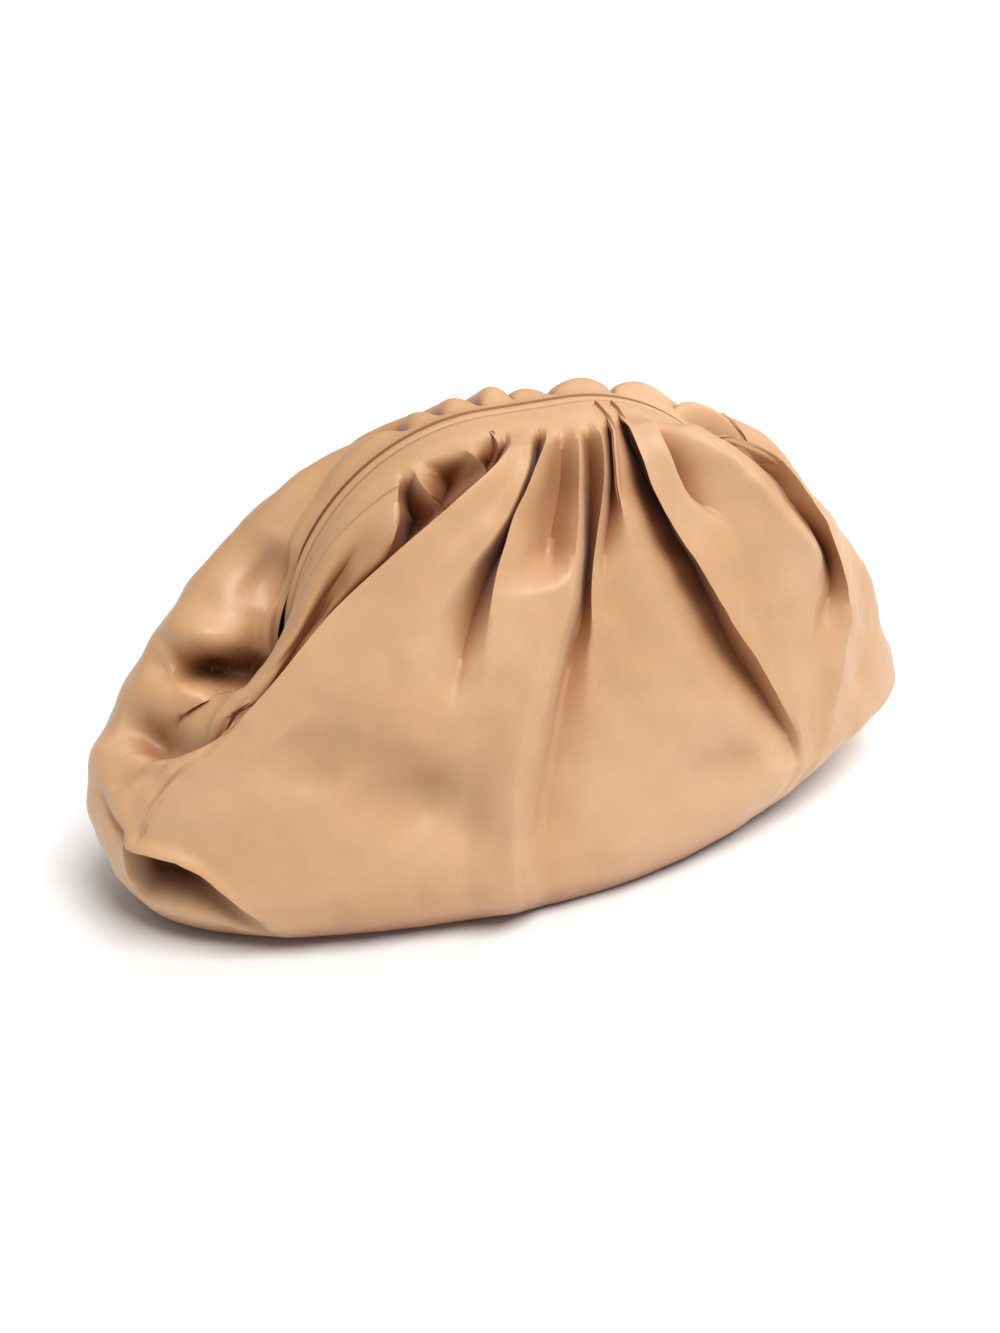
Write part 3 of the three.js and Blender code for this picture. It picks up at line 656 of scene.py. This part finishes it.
WAVES = (
    # direction, waves in a metre, height in millimetres
    ((0.8, 0.3, 0.5), 26, 0.35),
    ((-0.4, 0.7, 0.6), 41, 0.25),
    ((0.2, -0.5, 0.9), 67, 0.2),
    ((0.9, 0.1, -0.4), 95, 0.1),
)


def slack_at(points):
    """The slight unevenness of worn leather."""
    total = np.zeros(points.shape[:-1])
    for direction, count, height in WAVES:
        phase = points @ unit(np.array(direction)) * count * 2 * math.pi
        across = points @ unit(np.roll(direction, 1)) * count * 1.3 * math.pi
        total += np.sin(phase + 1.7 * np.sin(across)) * height * MM
    return total


LOOSE_START = 0.1  # the ways between which the leather is slack, and how soon it gets so
LOOSE_BLEND = 0.15
LOOSE_END = 0.8
LOOSE_END_BLEND = 0.1
SEAM_WAY = 0.079  # the stitched edge of the lining band, beside the left arm
SEAM_WIDTH = 0.0032
SEAM_DEPTH = 0.0011
SEAM_START = 0.1
SEAM_END = 0.37
SEAM_FADE = 0.04


def shell_grid():
    """The outer surface as rows of points, from the lip to the floor patch, and how much painted shade
    darkens each point.
    """
    bands = [np.linspace(low, high, count, endpoint=False) for low, high, count in ROW_BANDS]
    ways = np.concatenate([*bands, [1.0]])
    turns, heights = fold_lines(ways)
    measured = int(np.argmin(np.abs(ways - BREAST_WAY))) + ROWS_PAST_BREAST
    points = []
    painted_shades = []
    for index, (_, soft, _) in enumerate(FOLDS):
        following = (index + 1) % len(FOLDS)
        next_turns = turns[following] + (2 if following == 0 else 0)
        here = plain_form(turns[index], ways) + plain_normal(turns[index], ways) * heights[index][:, None]
        there = plain_form(next_turns, ways) + plain_normal(next_turns, ways) * heights[following][:, None]
        reach = np.linalg.norm(there - here, axis=-1)[:measured].max()
        count = int(np.clip(round(reach / COLUMN_WIDTH), LEAST_COLUMNS, MOST_COLUMNS)) // 2 * 2
        t = (np.arange(count) / count)[:, None]
        turn = mix(turns[index], next_turns, t)
        profile = fold_profile(t, soft, FOLDS[following][1])
        if index > len(FRONT_FOLDS):
            rising = heights[following] > heights[index]
            profile = np.where(rising, profile ** PUFF, 1 - (1 - profile) ** PUFF)
        height = mix(heights[index], heights[following], profile)
        way, pocket = pocket_at(np.mod(turn, 2), np.broadcast_to(ways, turn.shape))
        plain = plain_form(turn, way)
        seam = smooth((turn - SEAM_START) / SEAM_FADE) * smooth((SEAM_END - turn) / SEAM_FADE)
        seam = seam * SEAM_DEPTH * np.exp(-(((way - SEAM_WAY) / SEAM_WIDTH) ** 2))
        dents = dents_at(plain)
        height = height - dents - seam
        share = np.abs(np.mod(turn + 1, 2) - 1)
        deepest = mix(END_DEEPEST, DEEPEST, smooth((0.5 - np.abs(share - 0.5)) / END_BLEND))
        height = np.where(height < 0, -deepest * np.tanh(-height / deepest), height) - pocket
        # painted shade, darker the deeper a dent or the pocket presses the leather in
        painted_shades.append(np.clip(np.maximum(dents, 0) / DENT_SHADE + np.maximum(pocket, 0) / POCKET_SHADE, 0, 1))
        loose = smooth((way - LOOSE_START) / LOOSE_BLEND) * (1 - smooth((way - LOOSE_END) / LOOSE_END_BLEND))
        height = height + slack_at(plain) * loose
        points.append(plain + plain_normal(turn, way) * height[..., None])
    grid = np.concatenate(points).transpose(1, 0, 2)
    return grid, np.concatenate(painted_shades).T


def grid_normals(grid):
    """Outward directions of a grid of rows that close on themselves."""
    along = np.roll(grid, -1, axis=1) - np.roll(grid, 1, axis=1)
    down = np.empty_like(grid)
    down[1:-1] = grid[2:] - grid[:-2]
    down[0] = grid[1] - grid[0]
    down[-1] = grid[-1] - grid[-2]
    return unit(np.cross(down, along))


def mesh_object(name, vertices, faces, sharp_angle=None):
    mesh = bpy.data.meshes.new(name)
    mesh.from_pydata([tuple(v) for v in vertices], [], [tuple(f) for f in faces])
    mesh.validate()
    mesh.shade_smooth()
    if sharp_angle is not None:
        mesh.set_sharp_from_angle(angle=sharp_angle)
    made = bpy.data.objects.new(name, mesh)
    bpy.context.scene.collection.objects.link(made)
    return made


SHELL_SHARP = math.radians(80)  # faces that meet at more than this show a sharp edge
BAND_SHARP = math.radians(50)


def make_shell():
    """The leather as a closed wall: a fine outer surface and an inner one of every second row and column."""
    grid, painted_shades = shell_grid()
    rows, count, _ = grid.shape
    middle = np.array([MIDDLE_X, MIDDLE_Y, 0])
    rings = [mix(grid[-1], middle, (i + 1) / (FOOT_RINGS + 1)) for i in range(FOOT_RINGS)]
    outer = np.concatenate([grid, np.array(rings)])
    outer[..., 2] = np.maximum(outer[..., 2], 0)
    outer[rows - 1:, :, 2] = 0
    inner = (grid - grid_normals(grid) * LEATHER)[::2, ::2]
    inner[-1] = grid[-1, ::2]
    inner[-1, :, 2] = LEATHER
    inner_rows, inner_count, _ = inner.shape
    inside = outer.shape[0] * count
    vertices = np.concatenate([
        outer.reshape(-1, 3), inner.reshape(-1, 3), middle[None], (middle + [0, 0, LEATHER])[None],
    ])
    outer_middle = len(vertices) - 2
    inner_middle = len(vertices) - 1
    faces = []
    for row in range(outer.shape[0] - 1):
        for column in range(count):
            after = (column + 1) % count
            here, below = row * count, (row + 1) * count
            faces.append((here + column, below + column, below + after, here + after))
    bottom = (outer.shape[0] - 1) * count
    faces += [(bottom + column, outer_middle, bottom + (column + 1) % count) for column in range(count)]
    for row in range(inner_rows - 1):
        for column in range(inner_count):
            after = (column + 1) % inner_count
            here, below = inside + row * inner_count, inside + (row + 1) * inner_count
            faces.append((here + column, here + after, below + after, below + column))
    bottom = inside + (inner_rows - 1) * inner_count
    for column in range(inner_count):
        faces.append((bottom + column, bottom + (column + 1) % inner_count, inner_middle))
    for column in range(inner_count):
        after = (column + 1) % inner_count
        left, between, right = 2 * column, 2 * column + 1, (2 * column + 2) % count
        faces.append((left, between, right, inside + after, inside + column))
    shell = mesh_object("leather_shell", vertices, faces, SHELL_SHARP)
    # painted shade in the dents and the pocket, kept as a point attribute for the leather's colour
    painted_shade = np.zeros(len(vertices))
    painted_shade[: painted_shades.size] = painted_shades.ravel()
    shell.data.attributes.new("painted_shade", "FLOAT", "POINT").data.foreach_set("value", painted_shade)
    return shell


# One half of the frame: a leather-covered band with rounded edges.
BAND_STEPS = 160
BAND_CORNER = 0.0022
CORNER_STEPS = 5


def band_outline(side):
    """The band's section as (inward, y), round from its outer edge near the mouth."""
    near = side * MOUTH_GAP / 2
    far = near + side * BAND_DEPTH
    corners = [
        (BAND_CORNER, near + side * BAND_CORNER, math.pi, 1.5 * math.pi),
        (BAND_CORNER, far - side * BAND_CORNER, 0.5 * math.pi, math.pi),
        (BAND_WIDTH - BAND_CORNER, far - side * BAND_CORNER, 0, 0.5 * math.pi),
        (BAND_WIDTH - BAND_CORNER, near + side * BAND_CORNER, 1.5 * math.pi, 2 * math.pi),
    ]
    outline = []
    for inward, y, start, end in corners:
        angles = np.linspace(end, start, CORNER_STEPS)
        for a in angles:
            outline.append((inward + BAND_CORNER * math.cos(a), y + side * BAND_CORNER * math.sin(a)))
    return outline if side > 0 else outline[::-1]


def make_band(name, side):
    outline = np.array(band_outline(side))
    shares = np.linspace(0, 1, BAND_STEPS + 1)
    x, z, out_x, out_z = arch_at(shares)
    z = np.where(z < HINGE_HEIGHT, HINGE_HEIGHT, z)
    points = np.stack([
        x[:, None] - out_x[:, None] * outline[:, 0] + MIDDLE_X,
        np.broadcast_to(outline[:, 1] + MIDDLE_Y, (len(shares), len(outline))),
        z[:, None] - out_z[:, None] * outline[:, 0],
    ], -1)
    count = len(outline)
    faces = []
    for step in range(BAND_STEPS):
        for i in range(count):
            a, b = step * count + i, step * count + (i + 1) % count
            faces.append((a, a + count, b + count, b))
    faces.append(tuple(range(count)))
    faces.append(tuple(reversed(range(BAND_STEPS * count, (BAND_STEPS + 1) * count))))
    return mesh_object(name, points.reshape(-1, 3), faces, BAND_SHARP)


def add_node(nodes, kind, **values):
    node = nodes.new(kind)
    for key, value in values.items():
        setattr(node, key, value)
    return node


PAINTED_SHADE_REACH = 0.022  # how far apart the walls of a fold are where painted shade starts to darken its leather
# painted shade: the warm dark that the leather's colour is multiplied by in occluded folds and hollows
PAINTED_HOLLOW_SHADE = (0.42, 0.2, 0.085)
PAINTED_DEEP_SHADE = (0.11, 0.045, 0.02)  # painted shade for the leather deep in the dents and the pocket


def leather_material(name, color, dark, light, roughness, grain_scale=1600):
    """Smooth calf: a fine pebble grain, soft blotches of tone, and a sheen that breaks up with the grain,
    with painted shade in its folds, hollows, dents and pocket.
    """
    material = bpy.data.materials.new(name)
    material.use_nodes = True
    nodes = material.node_tree.nodes
    links = material.node_tree.links
    shader = nodes["Principled BSDF"]
    place = add_node(nodes, "ShaderNodeTexCoord")
    blotches = add_node(nodes, "ShaderNodeTexNoise")
    blotches.inputs["Scale"].default_value = 14
    blotches.inputs["Detail"].default_value = 4
    links.new(place.outputs["Object"], blotches.inputs["Vector"])
    tones = add_node(nodes, "ShaderNodeValToRGB")
    tones.color_ramp.elements[0].position = 0.3
    tones.color_ramp.elements[0].color = (*dark, 1)
    tones.color_ramp.elements[1].position = 0.72
    tones.color_ramp.elements[1].color = (*light, 1)
    middle = tones.color_ramp.elements.new(0.5)
    middle.color = (*color, 1)
    links.new(blotches.outputs["Fac"], tones.inputs["Fac"])
    pores = add_node(nodes, "ShaderNodeTexVoronoi")
    pores.inputs["Scale"].default_value = grain_scale
    links.new(place.outputs["Object"], pores.inputs["Vector"])
    fine = add_node(nodes, "ShaderNodeTexNoise")
    fine.inputs["Scale"].default_value = grain_scale / 4
    fine.inputs["Detail"].default_value = 6
    links.new(place.outputs["Object"], fine.inputs["Vector"])
    grain = add_node(nodes, "ShaderNodeMath", operation="ADD")
    links.new(pores.outputs["Distance"], grain.inputs[0])
    links.new(fine.outputs["Fac"], grain.inputs[1])
    bump = add_node(nodes, "ShaderNodeBump")
    bump.inputs["Strength"].default_value = 0.12
    bump.inputs["Distance"].default_value = 0.0002
    links.new(grain.outputs["Value"], bump.inputs["Height"])
    links.new(bump.outputs["Normal"], shader.inputs["Normal"])
    speckle = add_node(nodes, "ShaderNodeMix", data_type="RGBA", blend_type="MULTIPLY")
    speckle.inputs["Factor"].default_value = 0.12
    links.new(tones.outputs["Color"], speckle.inputs["A"])
    links.new(fine.outputs["Color"], speckle.inputs["B"])
    # Painted shade: the colour is darkened where ambient occlusion finds close walls, in folds and hollows.
    hollows = add_node(nodes, "ShaderNodeAmbientOcclusion", samples=8)
    hollows.inputs["Distance"].default_value = PAINTED_SHADE_REACH
    spread = add_node(nodes, "ShaderNodeMapRange")
    spread.inputs["From Min"].default_value = 0.1
    spread.inputs["From Max"].default_value = 0.85
    links.new(hollows.outputs["AO"], spread.inputs["Value"])
    painted_hollow_shade = add_node(nodes, "ShaderNodeMix", data_type="RGBA", blend_type="MULTIPLY")
    painted_hollow_shade.inputs["Factor"].default_value = 1
    painted_shade = add_node(nodes, "ShaderNodeValToRGB")
    painted_shade.color_ramp.elements[0].color = (*PAINTED_HOLLOW_SHADE, 1)
    painted_shade.color_ramp.elements[1].color = (1, 1, 1, 1)
    links.new(spread.outputs["Result"], painted_shade.inputs["Fac"])
    links.new(speckle.outputs["Result"], painted_hollow_shade.inputs["A"])
    links.new(painted_shade.outputs["Color"], painted_hollow_shade.inputs["B"])
    # Painted shade: the colour is darkened to the deep tone in the dents and the pocket, by the attribute the
    # shell carries.
    depth = add_node(nodes, "ShaderNodeAttribute", attribute_name="painted_shade")
    painted_deep_shade_mix = add_node(nodes, "ShaderNodeMix", data_type="RGBA", blend_type="MULTIPLY")
    painted_deep_shade_mix.inputs["B"].default_value = (*PAINTED_DEEP_SHADE, 1)
    links.new(depth.outputs["Fac"], painted_deep_shade_mix.inputs["Factor"])
    links.new(painted_hollow_shade.outputs["Result"], painted_deep_shade_mix.inputs["A"])
    links.new(painted_deep_shade_mix.outputs["Result"], shader.inputs["Base Color"])
    gloss = add_node(nodes, "ShaderNodeMapRange")
    gloss.inputs["To Min"].default_value = roughness - 0.06
    gloss.inputs["To Max"].default_value = roughness + 0.08
    links.new(fine.outputs["Fac"], gloss.inputs["Value"])
    links.new(gloss.outputs["Result"], shader.inputs["Roughness"])
    shader.inputs["Sheen Weight"].default_value = 0.1
    shader.inputs["Sheen Roughness"].default_value = 0.4
    # and less specular reflection there, so the painted shade stays dark
    specular_under_painted_shade = add_node(nodes, "ShaderNodeMapRange")
    specular_under_painted_shade.inputs["To Min"].default_value = 0.45
    specular_under_painted_shade.inputs["To Max"].default_value = 0.05
    links.new(depth.outputs["Fac"], specular_under_painted_shade.inputs["Value"])
    links.new(specular_under_painted_shade.outputs["Result"], shader.inputs["Specular IOR Level"])
    return material


def brass_material():
    material = bpy.data.materials.new("brass")
    material.use_nodes = True
    nodes = material.node_tree.nodes
    links = material.node_tree.links
    shader = nodes["Principled BSDF"]
    shader.inputs["Metallic"].default_value = 1
    place = add_node(nodes, "ShaderNodeTexCoord")
    stains = add_node(nodes, "ShaderNodeTexNoise")
    stains.inputs["Scale"].default_value = 260
    links.new(place.outputs["Object"], stains.inputs["Vector"])
    tones = add_node(nodes, "ShaderNodeValToRGB")
    tones.color_ramp.elements[0].color = (0.42, 0.27, 0.09, 1)
    tones.color_ramp.elements[1].color = (0.78, 0.57, 0.24, 1)
    links.new(stains.outputs["Fac"], tones.inputs["Fac"])
    links.new(tones.outputs["Color"], shader.inputs["Base Color"])
    shader.inputs["Roughness"].default_value = 0.3
    return material


CALF = (0.645, 0.368, 0.188)
CALF_DARK = (0.585, 0.318, 0.15)
CALF_LIGHT = (0.71, 0.43, 0.24)


def dress():
    calf = leather_material("calf", CALF, CALF_DARK, CALF_LIGHT, 0.42)
    band_calf = leather_material("band calf", CALF, CALF_DARK, CALF_LIGHT, 0.4, 1900)
    brass = brass_material()
    shell = make_shell()
    shell.data.materials.append(calf)
    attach(shell, "root")
    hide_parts("leather_body")
    for name, node, side in (("front_band", "front_frame", -1), ("back_band", "back_frame", 1)):
        band = make_band(name, side)
        band.data.materials.append(band_calf)
        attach(band, "root")
        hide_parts(node)
    for pin in ("hinge_pin_left", "hinge_pin_right"):
        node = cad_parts[pin]
        node.data.materials.clear()
        node.data.materials.append(brass)


def stage_material(name, color):
    material = bpy.data.materials.new(name)
    material.use_nodes = True
    shader = material.node_tree.nodes["Principled BSDF"]
    shader.inputs["Base Color"].default_value = (*color, 1)
    shader.inputs["Roughness"].default_value = 0.9
    return material


AMBIENT = 0.27
SUN_STRENGTH = 3.0
SUN_ANGLE = math.radians(34)
SUN_WAY = (0.2, -0.7, 1.45)
FLOOR_REACH = 30


def make_stage():
    """A plain pale floor, and soft light from above and in front."""
    reach = FLOOR_REACH
    corners = [(-reach, -reach, 0), (reach, -reach, 0), (reach, reach, 0), (-reach, reach, 0)]
    floor = mesh_object("floor", corners, [(0, 1, 2, 3)])
    floor.data.materials.append(stage_material("pale floor", (0.9, 0.9, 0.9)))
    world = bpy.data.worlds.new("studio")
    bpy.context.scene.world = world
    world.use_nodes = True
    background = world.node_tree.nodes["Background"]
    background.inputs["Color"].default_value = (1, 1, 1, 1)
    background.inputs["Strength"].default_value = AMBIENT
    sun = bpy.data.lights.new("key", "SUN")
    sun.energy = SUN_STRENGTH
    sun.angle = SUN_ANGLE
    aim_light("key", sun, Vector(AIM) + Vector(SUN_WAY))
    add_light("top", (0.3, 0.5, 1.8), 1.2, 6)
    add_light("rim", (1.3, 0.2, 0.9), 0.7, 5)


def add_light(name, place, size, watts):
    data = bpy.data.lights.new(name, "AREA")
    data.shape = "DISK"
    data.size = size
    data.energy = watts
    aim_light(name, data, place)


def aim_light(name, data, place):
    light = bpy.data.objects.new(name, data)
    light.location = place
    light.rotation_mode = "QUATERNION"
    light.rotation_quaternion = (Vector(AIM) - Vector(place)).to_track_quat("-Z", "Y")
    bpy.context.scene.collection.objects.link(light)


def make_camera():
    data = bpy.data.cameras.new("camera")
    data.sensor_fit = "AUTO"
    data.sensor_width = SENSOR
    data.lens = FOCAL / PHOTO_HEIGHT * SENSOR
    data.shift_x = (PHOTO_WIDTH / 2 - AIM_X) / PHOTO_HEIGHT
    data.shift_y = (AIM_Y - PHOTO_HEIGHT / 2) / PHOTO_HEIGHT
    camera = bpy.data.objects.new("camera", data)
    camera.location = EYE
    camera.rotation_mode = "QUATERNION"
    camera.rotation_quaternion = Vector(-BACKWARDS).to_track_quat("-Z", "Y")
    bpy.context.scene.collection.objects.link(camera)
    bpy.context.scene.camera = camera
    bpy.context.scene.view_settings.view_transform = "Standard"


make_camera()
dress()
make_stage()
